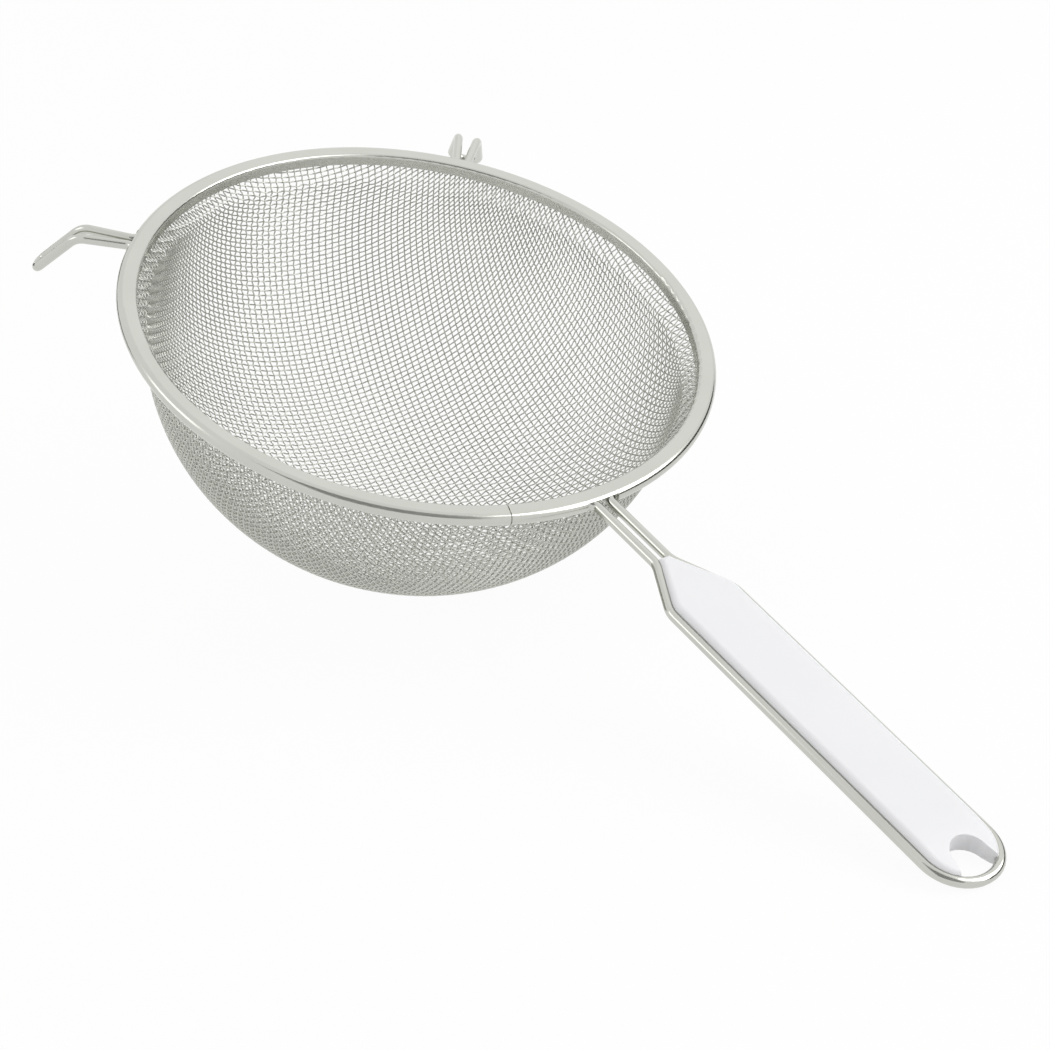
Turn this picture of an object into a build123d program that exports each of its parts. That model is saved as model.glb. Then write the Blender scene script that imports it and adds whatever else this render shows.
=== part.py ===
# Round kitchen sieve: a woven wire bowl held in a rolled rim band, on a bent wire
# frame that makes the rim hoop, two rest hooks and a handle with a moulded grip.
# Millimetres, +Z up. The sieve stands as it does on a table: on the outside of its
# bowl and on the tip of its handle. The origin is the point where the bowl touches
# the table, +X runs along the handle, and the XZ plane is the plane of symmetry.
from math import asin, atan, atan2, cos, degrees, hypot, radians, sin, tan
import os

from build123d import *

# Rim
rim_outer_diameter = 200.0
band_sheet = 0.5
band_width = 6.6
band_skirt_drop = 1.9
band_corner_radius = 1.1
band_wrap_angle = 235.0
band_seam_angle = -18.7
band_seam_gap = 0.3

# Frame wire
wire_diameter = 3.2
wire_clearance = 0.1
wire_bend_radius = 3.0
wire_bend_lead = 0.4
wire_joint_gap = 0.4

# Woven bowl, as a shell as thick as two crossing wires, with a coarse grid of openings
# in place of the cloth's fine ones
mesh_wire_diameter = 0.5
grid_bar_width = 4.0
grid_row_columns = (4, 8, 16, 24, 24, 24)
bowl_depth = 87.8
bowl_crown_radius = 105.7
bowl_crown_angle = 26.0
bowl_flare_drop = 6.5
bowl_flare_inset = 4.4
bowl_edge_rise = 0.6
mesh_clearance = 0.05

# Rest hooks
hook_angle = 137.0
hook_base_spacing = 3.6
hook_shaft_reach = 17.8
hook_reach = 31.0
hook_bend_radius = 7.0
hook_tip_radius_share = 0.44
hook_left_spacing = 7.0
hook_left_tip_spacing = 11.0
hook_left_shaft_drop = 0.2
hook_left_drop = 17.6
hook_right_spacing = 6.2
hook_right_tip_spacing = 5.8
hook_right_shaft_drop = 2.2
hook_right_drop = 19.2

# Handle loop
handle_length = 170.4
handle_pitch = 1.41
neck_length = 29.6
neck_spacing = 5.5
shoulder_length = 18.4
shoulder_bend_radius = 9.0
grip_spacing = 25.2
tip_radius_share = 0.97

# Grip
grip_start = 29.0
grip_groove_inset = 0.7
groove_clearance = 0.05
grip_thickness = 7.2
grip_start_thickness = 5.2
grip_tip_thickness = 3.4
grip_start_taper = 15.0
grip_tip_taper = 18.0
grip_profile_radius = 60.0
grip_edge_radius = 1.8
hang_hole_radius = 6.2
hang_hole_centre = 7.3
hang_hole_flare = 15.0

# Worked out once, for the pieces that share them
overrun = wire_diameter
rim_radius = rim_outer_diameter / 2
wire_radius = wire_diameter / 2
bead_inner_radius = wire_radius + wire_clearance
bead_outer_radius = bead_inner_radius + band_sheet
hoop_radius = rim_radius - bead_outer_radius
band_inner_radius = rim_radius - band_width
mesh_thickness = 2 * mesh_wire_diameter

# How the sieve stands: the bowl's crown and the wire at the handle's tip both touch
# the table, which fixes the tilt of the rim and its height
pitch_rise = tan(radians(handle_pitch))
tip_x = rim_radius + handle_length - wire_radius
tip_z = (tip_x - rim_radius) * pitch_rise
crown_centre_z = bowl_crown_radius - bowl_depth
lean_x = tip_x
lean_z = crown_centre_z - tip_z
lean_height = bowl_crown_radius - wire_radius
rim_tilt = degrees(asin(lean_height / hypot(lean_x, lean_z)) - atan2(lean_z, lean_x))
rim_height = bowl_crown_radius - crown_centre_z * cos(radians(rim_tilt))
rim_shift = crown_centre_z * sin(radians(rim_tilt))

rim_plane = Plane(
    origin=(-rim_shift, 0, rim_height),
    x_dir=(cos(radians(rim_tilt)), 0, -sin(radians(rim_tilt))),
    z_dir=(sin(radians(rim_tilt)), 0, cos(radians(rim_tilt))),
)
bowl_axis = Axis(rim_plane.origin, rim_plane.z_dir)
section_plane = Plane(rim_plane.origin, x_dir=rim_plane.x_dir, z_dir=-rim_plane.y_dir)

# The handle lies in its own plane, pitched up a little from the rim's
handle_tilt = radians(rim_tilt - handle_pitch)
handle_plane = Plane(
    origin=rim_plane.from_local_coords(Vector(rim_radius, 0, 0)),
    x_dir=(cos(handle_tilt), 0, -sin(handle_tilt)),
    z_dir=(sin(handle_tilt), 0, cos(handle_tilt)),
)
handle_side_plane = Plane(
    handle_plane.origin, x_dir=handle_plane.x_dir, z_dir=-handle_plane.y_dir
)
handle_tip = (tip_x - rim_radius) / cos(radians(handle_pitch))


def on_rim(radius, angle, height=0.0, sideways=0.0):
    """A point at a radius, an angle and a height from the rim's plane."""
    along, across = cos(radians(angle)), sin(radians(angle))
    return rim_plane.from_local_coords(
        Vector(radius * along - sideways * across, radius * across + sideways * along, height)
    )


def section_at(angle):
    """The plane of the rim's axis at an angle, X outwards and Y up the axis."""
    return Plane(
        rim_plane.origin,
        x_dir=on_rim(rim_radius, angle) - rim_plane.origin,
        z_dir=rim_plane.origin - on_rim(rim_radius, angle + 90),
    )


def on_handle(along, across):
    """A point in the handle's plane, measured from the rim's outer edge."""
    return handle_plane.from_local_coords(Vector(along, across, 0))


def leave_hoop(spacing):
    """Where a wire leaves the hoop to turn outwards: the angle where its straight
    lead starts, and the radius where lead and outward run would meet."""
    lead = wire_bend_radius + wire_bend_lead
    reach = hypot(hoop_radius, lead)
    turn = atan(lead / hoop_radius) + asin(spacing / 2 / reach)
    return degrees(turn), hoop_radius * cos(turn) + lead * sin(turn)


# Rim band: one strip of sheet, rolled into a bead round the hoop wire on its outside
# and folded down into a short skirt inside the woven bowl
bead_path_radius = bead_inner_radius + band_sheet / 2
skirt_path_radius = band_inner_radius + band_sheet / 2
notch_ceiling = bead_inner_radius
notch_floor = bead_outer_radius + overrun
notch_inner_radius = hoop_radius - bead_outer_radius
neck_turn = leave_hoop(neck_spacing)
hook_turn = leave_hoop(hook_base_spacing)
notches = [
    (0.0, hoop_radius * sin(radians(neck_turn[0]))),
    (hook_angle, hoop_radius * sin(radians(hook_turn[0]))),
    (-hook_angle, hoop_radius * sin(radians(hook_turn[0]))),
]

with BuildPart() as rim_band:
    with BuildSketch(section_plane):
        with BuildLine() as band_path:
            FilletPolyline(
                (skirt_path_radius, -band_skirt_drop),
                (skirt_path_radius, bead_path_radius),
                (hoop_radius, bead_path_radius),
                radius=band_corner_radius,
            )
            CenterArc((hoop_radius, 0), bead_path_radius, 90, -band_wrap_angle)
        trace(lines=band_path.line, line_width=band_sheet)
    revolve(axis=bowl_axis)
    for notch_angle, half_width in notches:
        notch_plane = Plane(
            origin=on_rim(notch_inner_radius, notch_angle, -notch_floor),
            x_dir=on_rim(rim_radius, notch_angle) - rim_plane.origin,
            z_dir=rim_plane.z_dir,
        )
        with BuildSketch(notch_plane):
            Rectangle(
                rim_radius - notch_inner_radius + overrun,
                2 * half_width,
                align=(Align.MIN, Align.CENTER),
            )
        extrude(amount=notch_floor + notch_ceiling, mode=Mode.SUBTRACT)
    seam_plane = Plane(
        origin=on_rim(band_inner_radius - overrun, band_seam_angle, -notch_floor),
        x_dir=on_rim(rim_radius, band_seam_angle) - rim_plane.origin,
        z_dir=rim_plane.z_dir,
    )
    with BuildSketch(seam_plane):
        Rectangle(band_width + 2 * overrun, band_seam_gap, align=(Align.MIN, Align.CENTER))
    extrude(amount=2 * notch_floor, mode=Mode.SUBTRACT)
rim_band.part.label = "rim_band"


# Woven bowl: a flat-bottomed dome of two tangent arcs, flared out at its edge to go
# up between the band's skirt and the bead. The side's arc is the one that is tangent to
# the crown's and ends where the flare starts. A run is a length along the bowl's outer
# face from the centre.
cloth_edge_radius = band_inner_radius + band_sheet + mesh_clearance + mesh_thickness
flare_radius = cloth_edge_radius - bowl_flare_inset
flare_fall = crown_centre_z + bowl_flare_drop
crown_turn = radians(bowl_crown_angle)
flare_along = flare_radius * sin(crown_turn) + flare_fall * cos(crown_turn)
flare_away = hypot(flare_radius, flare_fall)
side_step = (bowl_crown_radius**2 - flare_away**2) / (bowl_crown_radius - flare_along) / 2
side_radius = bowl_crown_radius - side_step
side_centre_x = side_step * sin(crown_turn)
side_centre_z = crown_centre_z - side_step * cos(crown_turn)
flare_turn = radians(90) - asin((side_centre_z + bowl_flare_drop) / side_radius)
crown_run = bowl_crown_radius * crown_turn
flare_run = crown_run + side_radius * (flare_turn - crown_turn)


def bowl_wall(run, inset):
    """The point of the bowl's wall at a run from its centre and a depth below its face."""
    if run < crown_run:
        turn = run / bowl_crown_radius
        radius = bowl_crown_radius - inset
        return radius * sin(turn), crown_centre_z - radius * cos(turn)
    turn = crown_turn + (run - crown_run) / side_radius
    radius = side_radius - inset
    return side_centre_x + radius * sin(turn), side_centre_z - radius * cos(turn)


def bowl_edge(inset):
    """The end of the flare and the edge of the cloth, at a depth below the outer face."""
    edge_radius = cloth_edge_radius - inset
    flare_end = (edge_radius, inset / 2 - band_skirt_drop - mesh_thickness / 2)
    return flare_end, (edge_radius, bowl_edge_rise)


side_mid_run = (crown_run + flare_run) / 2
row_run = flare_run / len(grid_row_columns)
with BuildPart() as mesh_bowl:
    with BuildSketch(section_plane):
        with BuildLine():
            for inset in (0.0, mesh_thickness):
                crown_end = bowl_wall(crown_run, inset)
                side_end = bowl_wall(flare_run, inset)
                ThreePointArc(bowl_wall(0.0, inset), bowl_wall(crown_run / 2, inset), crown_end)
                ThreePointArc(crown_end, bowl_wall(side_mid_run, inset), side_end)
                Polyline(side_end, *bowl_edge(inset))
            Line(bowl_wall(0.0, 0.0), bowl_wall(0.0, mesh_thickness))
            Line(bowl_edge(0.0)[1], bowl_edge(mesh_thickness)[1])
        make_face()
    revolve(axis=bowl_axis)

    # The coarse grid: rows of openings from the centre out, with a bar on the XZ plane,
    # where the bowl touches the table
    openings = []
    for row, columns in enumerate(grid_row_columns):
        low_run = row * row_run + grid_bar_width / 2
        high_run = (row + 1) * row_run - grid_bar_width / 2
        bar_turn = degrees(grid_bar_width / bowl_wall((low_run + high_run) / 2, 0.0)[0])
        opening_turn = 360 / columns - bar_turn
        for column in range(columns):
            first_side = section_at(360 * column / columns + bar_turn / 2)
            with BuildSketch(first_side, mode=Mode.PRIVATE) as gap:
                Polygon(
                    bowl_wall(low_run, -overrun),
                    bowl_wall(high_run, -overrun),
                    bowl_wall(high_run, mesh_thickness + overrun),
                    bowl_wall(low_run, mesh_thickness + overrun),
                    align=None,
                )
            openings.append(
                revolve(gap.sketch, bowl_axis, revolution_arc=opening_turn, mode=Mode.PRIVATE)
            )
    add(openings, mode=Mode.SUBTRACT)
mesh_bowl.part.label = "mesh_bowl"


# Frame wire: one length of wire, bent double for the handle, with a turn outwards on
# either side of the neck, round the hoop inside the bead, a hairpin bent out and down
# at each rest hook, and its two ends butted together at the back of the hoop
def arc_on_hoop(from_angle, to_angle):
    """The stretch of the hoop from one angle to another."""
    ThreePointArc(
        on_rim(hoop_radius, from_angle),
        on_rim(hoop_radius, (from_angle + to_angle) / 2),
        on_rim(hoop_radius, to_angle),
    )


def bend_hook(angle, spacing, tip_spacing, shaft_drop, drop):
    """One hook's hairpin, from the hoop out to its tip and back."""
    shaft_reach = rim_radius + hook_shaft_reach
    tip_reach = rim_radius + hook_reach
    tip_radius = tip_spacing * hook_tip_radius_share
    FilletPolyline(
        on_rim(hoop_radius, angle - hook_turn[0]),
        on_rim(hook_turn[1], angle, sideways=-hook_base_spacing / 2),
        on_rim(shaft_reach, angle, -shaft_drop, -spacing / 2),
        on_rim(tip_reach, angle, -drop, -tip_spacing / 2),
        on_rim(tip_reach, angle, -drop, tip_spacing / 2),
        on_rim(shaft_reach, angle, -shaft_drop, spacing / 2),
        on_rim(hook_turn[1], angle, sideways=hook_base_spacing / 2),
        on_rim(hoop_radius, angle + hook_turn[0]),
        radius=[
            wire_bend_radius,
            hook_bend_radius,
            tip_radius,
            tip_radius,
            hook_bend_radius,
            wire_bend_radius,
        ],
    )


loop_corners = [
    (neck_length, neck_spacing / 2),
    (neck_length + shoulder_length, grip_spacing / 2),
    (handle_tip, grip_spacing / 2),
]
tip_bend_radius = grip_spacing / 2 * tip_radius_share
loop_radii = [
    wire_bend_radius,
    shoulder_bend_radius,
    shoulder_bend_radius,
    tip_bend_radius,
]
joint_turn = degrees(wire_joint_gap / 2 / hoop_radius)

with BuildPart() as frame_wire:
    with BuildLine() as frame_route:
        arc_on_hoop(joint_turn - 180, -hook_angle - hook_turn[0])
        bend_hook(
            -hook_angle,
            hook_right_spacing,
            hook_right_tip_spacing,
            hook_right_shaft_drop,
            hook_right_drop,
        )
        arc_on_hoop(-hook_angle + hook_turn[0], -neck_turn[0])
        FilletPolyline(
            on_rim(hoop_radius, -neck_turn[0]),
            on_rim(neck_turn[1], 0, sideways=-neck_spacing / 2),
            *[on_handle(x, -y) for x, y in loop_corners],
            *[on_handle(x, y) for x, y in reversed(loop_corners)],
            on_rim(neck_turn[1], 0, sideways=neck_spacing / 2),
            on_rim(hoop_radius, neck_turn[0]),
            radius=loop_radii + loop_radii[::-1],
        )
        arc_on_hoop(neck_turn[0], hook_angle - hook_turn[0])
        bend_hook(
            hook_angle,
            hook_left_spacing,
            hook_left_tip_spacing,
            hook_left_shaft_drop,
            hook_left_drop,
        )
        arc_on_hoop(hook_angle + hook_turn[0], 180 - joint_turn)
    route_wire = frame_route.wire()
    with BuildSketch(Plane(origin=route_wire @ 0, z_dir=route_wire % 0)):
        Circle(wire_radius)
    sweep(path=route_wire)
frame_wire.part.label = "frame_wire"


# Grip: one moulding that fills the handle's wire loop, with a half-round groove along
# its sides for the wire, and a notch at its tip that the wire closes into a hang hole
half_spacing = grip_spacing / 2
grip_corners = [(0.0, neck_spacing / 2), *loop_corners]
grip_radii = loop_radii[1:]
hole_x = handle_tip - hang_hole_centre
notch_end_x = handle_tip + overrun
notch_end_half = hang_hole_radius + (notch_end_x - hole_x) * tan(radians(hang_hole_flare))
profile_end = handle_tip + wire_radius
thickness_points = [
    (grip_start, grip_start_thickness / 2),
    (grip_start + grip_start_taper, grip_thickness / 2),
    (profile_end - grip_tip_taper, grip_thickness / 2),
    (profile_end, grip_tip_thickness / 2),
]
grip_up = handle_plane.z_dir

with BuildPart() as grip:
    with BuildSketch(handle_plane):
        with BuildLine():
            FilletPolyline(
                *[(x, -y) for x, y in grip_corners],
                *[(x, y) for x, y in reversed(grip_corners)],
                radius=grip_radii + grip_radii[::-1],
            )
            Line((0, neck_spacing / 2), (0, -neck_spacing / 2))
        make_face()
        offset(amount=-grip_groove_inset, mode=Mode.REPLACE)
    extrude(amount=grip_thickness, both=True)
    with BuildSketch(handle_side_plane):
        with BuildLine():
            FilletPolyline(*thickness_points, radius=grip_profile_radius)
            Polyline(
                thickness_points[-1],
                (profile_end, -grip_tip_thickness / 2),
            )
            FilletPolyline(
                *[(x, -z) for x, z in reversed(thickness_points)],
                radius=grip_profile_radius,
            )
            Polyline(
                (grip_start, -grip_start_thickness / 2),
                thickness_points[0],
            )
        make_face()
    extrude(amount=half_spacing, both=True, mode=Mode.INTERSECT)
    grip_walls = grip.faces().filter_by(lambda face: abs(face.normal_at().dot(grip_up)) < 0.1)
    grip_outline = grip_walls.edges().filter_by(lambda edge: abs((edge % 0.5).dot(grip_up)) < 0.9)
    fillet(grip_outline, grip_edge_radius)
    with BuildSketch(handle_plane):
        with Locations((hole_x, 0)):
            Circle(hang_hole_radius)
        with BuildLine():
            Polyline(
                (hole_x, -hang_hole_radius),
                (notch_end_x, -notch_end_half),
                (notch_end_x, notch_end_half),
                (hole_x, hang_hole_radius),
                close=True,
            )
        make_face()
    extrude(amount=grip_thickness, both=True, mode=Mode.SUBTRACT)
    with BuildLine() as groove_route:
        FilletPolyline(
            on_rim(neck_turn[1], 0, sideways=-neck_spacing / 2),
            *[on_handle(x, -y) for x, y in loop_corners],
            *[on_handle(x, y) for x, y in reversed(loop_corners)],
            on_rim(neck_turn[1], 0, sideways=neck_spacing / 2),
            radius=grip_radii + grip_radii[::-1],
        )
    groove_wire = groove_route.wire()
    with BuildSketch(Plane(origin=groove_wire @ 0, z_dir=groove_wire % 0)):
        Circle(wire_radius + groove_clearance)
    sweep(path=groove_wire, mode=Mode.SUBTRACT)
grip.part.label = "grip"

os.makedirs("parts", exist_ok=True)
export_step(rim_band.part, "parts/rim_band.step")
export_step(mesh_bowl.part, "parts/mesh_bowl.step")
export_step(frame_wire.part, "parts/frame_wire.step")
export_step(grip.part, "parts/grip.step")
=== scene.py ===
# %% [markdown]
# # A kitchen sieve: woven wire bowl, rolled rim, bent wire handle and moulded grip
#
# The frame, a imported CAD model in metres, gives every piece its size and place. The rim
# band, the frame wire and the grip keep their CAD shapes and get real finishes here. The
# bowl, a plain shell in CAD, becomes woven wire cloth.

# %% Load the frame
from math import cos, hypot, pi, radians, sin, tan

import bpy
import numpy as np
from mathutils import Matrix, Vector


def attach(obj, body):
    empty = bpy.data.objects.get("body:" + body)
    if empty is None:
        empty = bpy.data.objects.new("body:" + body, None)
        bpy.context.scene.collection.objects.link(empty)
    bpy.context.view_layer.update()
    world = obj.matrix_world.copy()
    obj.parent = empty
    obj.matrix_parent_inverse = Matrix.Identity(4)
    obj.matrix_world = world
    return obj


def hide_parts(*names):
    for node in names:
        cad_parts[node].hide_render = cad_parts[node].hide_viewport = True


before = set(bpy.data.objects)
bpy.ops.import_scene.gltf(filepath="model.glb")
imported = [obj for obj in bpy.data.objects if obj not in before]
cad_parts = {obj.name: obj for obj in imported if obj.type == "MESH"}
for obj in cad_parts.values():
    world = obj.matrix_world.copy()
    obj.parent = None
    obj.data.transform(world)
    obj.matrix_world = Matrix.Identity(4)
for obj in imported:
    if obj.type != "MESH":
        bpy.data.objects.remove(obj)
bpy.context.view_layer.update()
print("frame holds", sorted(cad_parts))

# %% [markdown]
# ## How the sieve stands
#
# A sieve put down on a table rests on its round bowl and on the tip of its handle, so its
# rim is tilted. It is far easier to think of the bowl in the rim's own upright frame, so
# everything is worked out there in millimetres and turned to the standing pose at the end.

# %% The rim's own frame
MM = 0.001
rim_tilt = 19.8265
rim_centre = Vector((-6.0712, 0, 88.861)) * MM
rim_to_table = Matrix.Translation(rim_centre) @ Matrix.Rotation(radians(rim_tilt), 4, "Y")

# %% [markdown]
# ## The camera
#
# A product photographer stands a little above a small object and far off with a long lens,
# so that it keeps its shape. The camera is placed first, so that every later choice can be
# looked at from where the picture is taken.

# %% Camera
camera_data = bpy.data.cameras.new("product camera")
camera_data.lens = 78.553
camera_data.sensor_width = 36
camera_data.clip_start = 0.01
camera = bpy.data.objects.new("product camera", camera_data)
bpy.context.scene.collection.objects.link(camera)
camera_turn = radians(-37.387)
camera_rise = radians(25.522)
camera_roll = radians(-1.208)
camera_pose = (
    Matrix.Rotation(camera_turn + pi / 2, 4, "Z")
    @ Matrix.Rotation(pi / 2 - camera_rise, 4, "X")
    @ Matrix.Rotation(camera_roll, 4, "Z")
)
camera.rotation_euler = camera_pose.to_euler()
camera.location = Vector((580.98, -407.54, 353.63)) * MM
bpy.context.scene.camera = camera

# %% [markdown]
# ## The bowl's shape
#
# The cloth is drawn over a former: a dome made of two arcs that meet smoothly, a wide one
# for the crown and a tighter one for the sides, with the edge flared out to go up under the
# rim's bead. A wire's place is found by asking how far a point is from that surface, and
# which way is straight out of it. Heights are measured from the middle of the bead.

# %% The bowl's middle surface
wire_width = 0.5
sheet_half = wire_width
crown_centre = 17.9
crown_radius = 105.7 - sheet_half
side_step = 26.975
crown_angle = radians(26)
side_radius = crown_radius - side_step
side_x = side_step * sin(crown_angle)
side_z = crown_centre - side_step * cos(crown_angle)
flare_z = -6.5
flare_x = side_x + (side_radius**2 - (flare_z - side_z) ** 2) ** 0.5
edge_x = 94.45
edge_z = -2.2
cloth_top = 0.3
flare_length = hypot(edge_x - flare_x, edge_z - flare_z)
flare_out = ((edge_z - flare_z) / flare_length, -(edge_x - flare_x) / flare_length)
print("bowl's side radius", round(side_radius, 2), "mm, flare starts at", round(flare_x, 2), "mm")


def bowl_surface(point):
    """How far a point lies outside the bowl, and the way straight out of it."""
    x, y, z = point
    reach = hypot(x, y)
    if reach < (crown_centre - z) * tan(crown_angle):
        away = hypot(reach, z - crown_centre)
        gap, out, up = away - crown_radius, reach / away, (z - crown_centre) / away
    elif z < flare_z:
        away = hypot(reach - side_x, z - side_z)
        gap, out, up = away - side_radius, (reach - side_x) / away, (z - side_z) / away
    elif z < edge_z:
        out, up = flare_out
        gap = (reach - flare_x) * out + (z - flare_z) * up
    else:
        gap, out, up = reach - edge_x, 1.0, 0.0
    share = 1 / max(reach, 1e-9)
    return gap, np.array((out * x * share, out * y * share, up))


# %% [markdown]
# ## The woven cloth
#
# Wire cloth can't stretch: when it is pressed into a bowl, the distance along each wire
# from one crossing to the next stays the same and only the angle between the wires
# changes. So the cloth is laid on the bowl the way a cloth drapes. Two wires cross at the
# bowl's lowest point and run straight up its sides. Every other crossing is then the one
# point on the bowl that is a pitch away from both of its neighbours. The squares lean into
# diamonds towards the rim, midway between the two first wires, as on a real sieve. Only a
# quarter is worked out and the rest is mirrored. The disc was clamped a little askew in the
# rim, so the whole cloth is turned by a few degrees.

# %% Where the wires cross
cross_pitch = 1.726
long_pitch = 2.573
cloth_turn = radians(-7.0)
edge_overrun = 0.45


def step_on_bowl(point, direction, distance):
    """The place on the bowl a distance from a point, straight on in a direction."""
    place = point + direction * distance
    for _ in range(4):
        gap, out = bowl_surface(place)
        place = place - gap * out
        run = place - point
        place = point + run * distance / np.linalg.norm(run)
    return place


def crossing(before, beside, behind):
    """The place on the bowl one pitch away from each of two neighbours."""
    place = before + beside - behind
    for _ in range(12):
        gap, out = bowl_surface(place)
        first, second = place - before, place - beside
        misses = (first @ first - cross_pitch**2, second @ second - long_pitch**2, gap)
        move = np.linalg.solve(np.array((2 * first, 2 * second, out)), np.array(misses))
        place = place - move
        if abs(move).max() < 1e-7:
            break
    return place


def first_wire(direction, pitch):
    """The crossings of a wire that runs straight up the bowl from its lowest point."""
    places = [np.array((0.0, 0.0, crown_centre - crown_radius))]
    while places[-1][2] < cloth_top:
        places.append(step_on_bowl(places[-1], direction, pitch))
        ahead = places[-1] - places[-2]
        direction = ahead / np.linalg.norm(ahead)
    return places[:-1]


def drape_quarter():
    """One quarter of the cloth's crossings, by their counts along and across."""
    along = first_wire(np.array((1.0, 0.0, 0.0)), cross_pitch)
    across = first_wire(np.array((0.0, 1.0, 0.0)), long_pitch)
    places = {(i, 0): place for i, place in enumerate(along)}
    places.update({(0, j): place for j, place in enumerate(across)})
    for j in range(1, len(across)):
        for i in range(1, len(along)):
            if (i - 1, j) in places and (i, j - 1) in places:
                place = crossing(places[i - 1, j], places[i, j - 1], places[i - 1, j - 1])
                if place[2] < cloth_top:
                    places[i, j] = place
    return places


quarter = drape_quarter()
print("crossings in a quarter of the cloth:", len(quarter))

# %% [markdown]
# ## From crossings to wires
#
# In a plain weave every wire goes over one neighbour and under the next. Each crossing
# gives a wire two points, pushed one wire radius out of the bowl or into it, so that the
# wire is flat over the crossing and slants between crossings. The points make a curve with
# a round bevel, which is then turned into a mesh. Six sides are enough for a wire that is
# only a pixel or two wide, and keep each mesh under 200,000 triangles.

# %% Weave the wires
crossing_share = 0.22
bevel_steps = 1


def cloth_place(i, j):
    """The crossing at any counts, mirrored from the draped quarter, and its normal."""
    place = quarter.get((abs(i), abs(j)))
    if place is None:
        return None
    x, y, z = place * np.array((1 if i >= 0 else -1, 1 if j >= 0 else -1, 1))
    turned = np.array(
        (x * cos(cloth_turn) - y * sin(cloth_turn), x * sin(cloth_turn) + y * cos(cloth_turn), z)
    )
    return turned, bowl_surface(turned)[1]


def woven_points(stops, over):
    """A wire's points from its crossings: over one neighbour and under the next."""
    points = []
    for k, (place, out) in enumerate(stops):
        lift = out * (wire_width / 2 if (k + over) % 2 else -wire_width / 2)
        before = stops[k - 1][0] - place if k else place - stops[k + 1][0]
        after = stops[k + 1][0] - place if k + 1 < len(stops) else place - stops[k - 1][0]
        first_share = crossing_share if k else edge_overrun
        last_share = crossing_share if k + 1 < len(stops) else edge_overrun
        points.append(place + before * first_share + lift)
        points.append(place + after * last_share + lift)
    return points


def wire_runs(across):
    """Every wire of one direction as its points, from one edge of the cloth to the other."""
    last = max(abs(i if across else j) for i, j in quarter)
    reach = max(abs(j if across else i) for i, j in quarter)
    for n in range(-last, last + 1):
        spots = [(n, m) if across else (m, n) for m in range(-reach, reach + 1)]
        inside = [(spot, cloth_place(*spot)) for spot in spots]
        inside = [(spot, found) for spot, found in inside if found]
        if len(inside) < 3:
            continue
        start = inside[0][0]
        over = (start[0] + start[1] + (1 if across else 0)) % 2
        yield n, woven_points([found for _, found in inside], over)


def weave(name, runs):
    """One piece of cloth: its wires as round tubes in one mesh."""
    curve = bpy.data.curves.new(name, "CURVE")
    curve.dimensions = "3D"
    curve.bevel_depth = wire_width / 2 * MM
    curve.bevel_resolution = bevel_steps
    curve.use_fill_caps = True
    for points in runs:
        placed = [rim_to_table @ (Vector(p) * MM) for p in points]
        spline = curve.splines.new("POLY")
        spline.points.add(len(placed) - 1)
        spline.points.foreach_set("co", [c for p in placed for c in (*p, 1.0)])
    piece = bpy.data.objects.new(name, curve)
    bpy.context.scene.collection.objects.link(piece)
    bpy.ops.object.select_all(action="DESELECT")
    piece.select_set(True)
    bpy.context.view_layer.objects.active = piece
    bpy.ops.object.convert(target="MESH")
    piece = bpy.context.view_layer.objects.active
    bpy.ops.object.shade_smooth()
    print(name, "faces", len(piece.data.polygons))
    return piece


cross_runs = list(wire_runs(True))
long_runs = list(wire_runs(False))
cloth = [
    weave("cross_wires_handle_side", [run for n, run in cross_runs if n >= 0]),
    weave("cross_wires_hook_side", [run for n, run in cross_runs if n < 0]),
    weave("long_wires_left", [run for n, run in long_runs if n >= 0]),
    weave("long_wires_right", [run for n, run in long_runs if n < 0]),
]
print("wires:", len(cross_runs), "across,", len(long_runs), "along")

# %% [markdown]
# ## Materials
#
# Three small helpers keep the materials readable. Colours are written as the hex values that
# a screen shows, and one function turns them to the linear values that Blender mixes with.

# %% Material helpers


def linear(hex_colour):
    """A screen's hex colour as linear red, green, blue and alpha."""
    parts = [int(hex_colour[i : i + 2], 16) / 255 for i in (0, 2, 4)]
    return [c / 12.92 if c <= 0.04045 else ((c + 0.055) / 1.055) ** 2.4 for c in parts] + [1.0]


def add_node(tree, kind, links=(), **settings):
    """A node with its settings: sockets by name, and links from other nodes' outputs."""
    node = tree.nodes.new(kind)
    for name, value in settings.items():
        if name in node.bl_rna.properties:
            setattr(node, name, value)
        else:
            node.inputs[name.replace("_", " ")].default_value = value
    for source, socket in links:
        tree.links.new(source, node.inputs[socket])
    return node


def new_material(name):
    """An empty node material with its output node."""
    material = bpy.data.materials.new(name)
    material.use_nodes = True
    material.node_tree.nodes.clear()
    return material, material.node_tree, material.node_tree.nodes.new("ShaderNodeOutputMaterial")


# %% [markdown]
# ## Plated steel, for the rim band, the frame wire and the cloth
#
# The rim and the wire are mild steel with a bright plating. It is a mirror that has been
# handled: sharp reflections, slightly softened by fine drawing marks a few tenths of a
# millimetre apart, and cloudy by a shade where the plating is thicker. The cloth's wires
# are tinned, which is softer and duller, so they get the same finish with more roughness.

# %% Plated steel
cloud_size = 18 * MM


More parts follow.
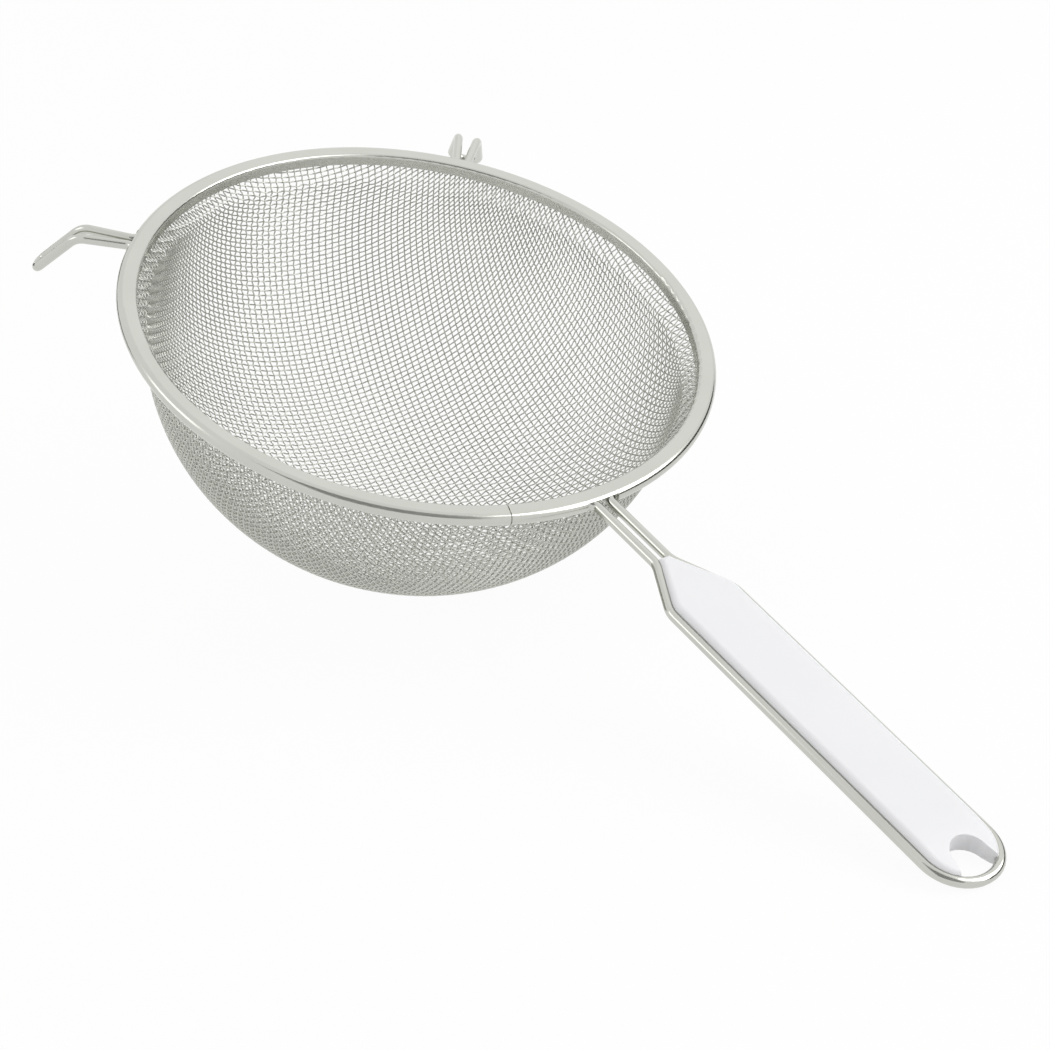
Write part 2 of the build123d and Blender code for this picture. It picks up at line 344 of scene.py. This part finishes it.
def plated_steel(name, colour, dull_colour, roughness, mark_size):
    """Bright metal with cloudy plating and fine drawing marks."""
    material, tree, output = new_material(name)
    place = [(add_node(tree, "ShaderNodeTexCoord").outputs["Object"], "Vector")]
    cloud = add_node(tree, "ShaderNodeTexNoise", place, Scale=1 / cloud_size, Detail=3.0)
    marks = add_node(tree, "ShaderNodeTexNoise", place, Scale=1 / mark_size, Detail=2.0)
    height = [(marks.outputs["Fac"], "Height")]
    tint = add_node(tree, "ShaderNodeMix", [(cloud.outputs["Fac"], 0)], data_type="RGBA")
    tint.inputs[6].default_value = linear(colour)
    tint.inputs[7].default_value = linear(dull_colour)
    polish = add_node(tree, "ShaderNodeMapRange", [(marks.outputs["Fac"], "Value")])
    polish.inputs["To Min"].default_value = roughness * 0.75
    polish.inputs["To Max"].default_value = roughness * 1.25
    bump = add_node(tree, "ShaderNodeBump", height, Strength=0.08, Distance=0.02 * MM)
    shader = add_node(
        tree,
        "ShaderNodeBsdfPrincipled",
        [
            (tint.outputs[2], "Base Color"),
            (polish.outputs["Result"], "Roughness"),
            (bump.outputs["Normal"], "Normal"),
        ],
        Metallic=1.0,
    )
    tree.links.new(shader.outputs["BSDF"], output.inputs["Surface"])
    return material


rim_steel = plated_steel("bright plated steel sheet", "CCCDC6", "C2C3BC", 0.17, 0.6 * MM)
wire_steel = plated_steel("bright plated steel wire", "CCCDC6", "C0C1BA", 0.14, 0.5 * MM)
cloth_steel = plated_steel("tinned steel wire cloth", "C9CAC3", "BDBEB7", 0.25, 0.3 * MM)

# %% [markdown]
# ## White polypropylene, for the grip
#
# The grip is injection moulded. The mould's fine spark-eroded grain makes it semi-matt: it
# has a broad soft highlight and no sharp reflection. Light goes a little way into it.

# %% Moulded plastic
grain_size = 0.35 * MM
flow_size = 25 * MM
plastic, tree, output = new_material("white moulded polypropylene")
place = [(add_node(tree, "ShaderNodeTexCoord").outputs["Object"], "Vector")]
grain = add_node(tree, "ShaderNodeTexNoise", place, Scale=1 / grain_size, Detail=2.0)
flow = add_node(tree, "ShaderNodeTexNoise", place, Scale=1 / flow_size, Detail=2.0)
shade = add_node(tree, "ShaderNodeMix", data_type="RGBA")
tree.links.new(flow.outputs["Fac"], shade.inputs[0])
shade.inputs[6].default_value = linear("F4F4F6")
shade.inputs[7].default_value = linear("F0F0F2")
height = [(grain.outputs["Fac"], "Height")]
grain_bump = add_node(tree, "ShaderNodeBump", height, Strength=0.12, Distance=0.03 * MM)
shader = add_node(
    tree,
    "ShaderNodeBsdfPrincipled",
    [(shade.outputs[2], "Base Color"), (grain_bump.outputs["Normal"], "Normal")],
    Roughness=0.38,
    IOR=1.49,
)
shader.inputs["Subsurface Weight"].default_value = 0.15
shader.inputs["Subsurface Radius"].default_value = (1.0, 1.0, 1.0)
shader.inputs["Subsurface Scale"].default_value = 1.2 * MM
tree.links.new(shader.outputs["BSDF"], output.inputs["Surface"])

# %% [markdown]
# ## Dressing the pieces
#
# The three CAD pieces only get their finish. The four meshes of the cloth take the place of
# the bowl's plain shell and stay with the same body.

# %% Put the finishes on
finishes = {"rim_band": rim_steel, "frame_wire": wire_steel, "grip": plastic}
for node_name, material in finishes.items():
    node = bpy.data.objects[node_name]
    node.data.materials.clear()
    node.data.materials.append(material)
for piece in cloth:
    piece.data.materials.append(cloth_steel)
    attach(piece, "root")
    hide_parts("mesh_bowl")

# %% [markdown]
# ## A white studio
#
# The floor is white card. The camera, and the reflections in the metal, see it as plain
# white, while a share of real card under the lamps keeps a soft shadow below the sieve.
# The world works in the same way: it is plain white to look at and lights the sieve at a
# lower level, so that the white grip keeps its colour.

# %% What sees the plain white


def seen_directly(tree, path):
    """1 for the camera's rays and for reflections and refractions, 0 for diffuse light."""
    rays = [path.outputs[f"Is {kind} Ray"] for kind in ("Camera", "Glossy", "Transmission")]
    first = add_node(tree, "ShaderNodeMath", [(rays[0], 0), (rays[1], 1)], operation="MAXIMUM")
    both = [(first.outputs[0], 0), (rays[2], 1)]
    return add_node(tree, "ShaderNodeMath", both, operation="MAXIMUM").outputs[0]


# %% Floor
floor_size = 6.0
plain_white_share = 0.94
bpy.ops.object.select_all(action="DESELECT")
bpy.ops.mesh.primitive_plane_add(size=floor_size, location=(0, 0, 0))
floor = bpy.context.active_object
floor.name = "floor"
card, tree, output = new_material("white card")
lit_card = add_node(tree, "ShaderNodeBsdfDiffuse", Color=linear("F4F4F4"))
plain_white = add_node(tree, "ShaderNodeEmission", Color=(1, 1, 1, 1), Strength=1.0)
path = add_node(tree, "ShaderNodeLightPath")
white_share = add_node(tree, "ShaderNodeMath", operation="MULTIPLY")
tree.links.new(seen_directly(tree, path), white_share.inputs[0])
white_share.inputs[1].default_value = plain_white_share
seen_card = add_node(tree, "ShaderNodeMixShader")
tree.links.new(white_share.outputs[0], seen_card.inputs[0])
tree.links.new(lit_card.outputs[0], seen_card.inputs[1])
tree.links.new(plain_white.outputs[0], seen_card.inputs[2])
tree.links.new(seen_card.outputs[0], output.inputs["Surface"])
floor.data.materials.append(card)

# %% World and lamps
world = bpy.data.worlds.new("studio")
bpy.context.scene.world = world
world.use_nodes = True
tree = world.node_tree
tree.nodes.clear()
room = add_node(tree, "ShaderNodeBackground", Color=(1, 1, 1, 1), Strength=0.78)
white = add_node(tree, "ShaderNodeBackground", Color=(1, 1, 1, 1), Strength=1.0)
path = add_node(tree, "ShaderNodeLightPath")
mix = add_node(tree, "ShaderNodeMixShader")
tree.links.new(seen_directly(tree, path), mix.inputs[0])
tree.links.new(room.outputs[0], mix.inputs[1])
tree.links.new(white.outputs[0], mix.inputs[2])
output = add_node(tree, "ShaderNodeOutputWorld")
tree.links.new(mix.outputs[0], output.inputs["Surface"])


def lamp(name, place, size, power):
    """A square soft lamp that faces the sieve."""
    data = bpy.data.lights.new(name, "AREA")
    data.size = size
    data.energy = power
    light = bpy.data.objects.new(name, data)
    bpy.context.scene.collection.objects.link(light)
    light.location = place
    towards = Vector((0.08, 0, 0.06)) - light.location
    light.rotation_euler = towards.to_track_quat("-Z", "Y").to_euler()
    return light


lamp("left softbox", (-0.6, -1.2, 1.0), 0.7, 1.5)
lamp("right softbox", (0.78, 0.78, 0.86), 1.0, 7.5)
lamp("back softbox", (-0.5, 0.84, 1.2), 1.2, 0.5)

# %% [markdown]
# ## Cards round the sieve
#
# Bright metal only looks like metal when it has something dark to reflect, so a
# photographer stands grey and black cards round it, just outside the picture. The camera
# doesn't see them here, so that they don't get into the picture from other angles.

# %% Cards


def dark_card(name, compass, rise, distance, width, height, tone):
    """A card that stands at a compass angle and a rise, and faces the sieve."""
    bpy.ops.mesh.primitive_plane_add(size=1)
    board = bpy.context.active_object
    board.name = name
    turn, lift = radians(compass), radians(rise)
    way = Vector((cos(turn) * cos(lift), sin(turn) * cos(lift), sin(lift)))
    board.rotation_euler = (-way).to_track_quat("Z", "Y").to_euler()
    board.location = way * distance
    board.scale = (width, height, 1)
    board.visible_camera = False
    paint, tree, output = new_material(name)
    matt = add_node(tree, "ShaderNodeBsdfDiffuse", Color=(tone, tone, tone, 1))
    tree.links.new(matt.outputs[0], output.inputs["Surface"])
    board.data.materials.append(paint)


dark_card("grey card behind the camera", -30, 42, 1.2, 1.1, 1.1, 0.42)
dark_card("black card on the right", 62, 7, 1.3, 1.7, 0.6, 0.08)
dark_card("black card on the left", -168, 3, 1.3, 0.9, 0.3, 0.1)

# %% [markdown]
# ## Finish
#
# The Standard look shows colours as they were written.

# %% Look
bpy.context.scene.view_settings.view_transform = "Standard"
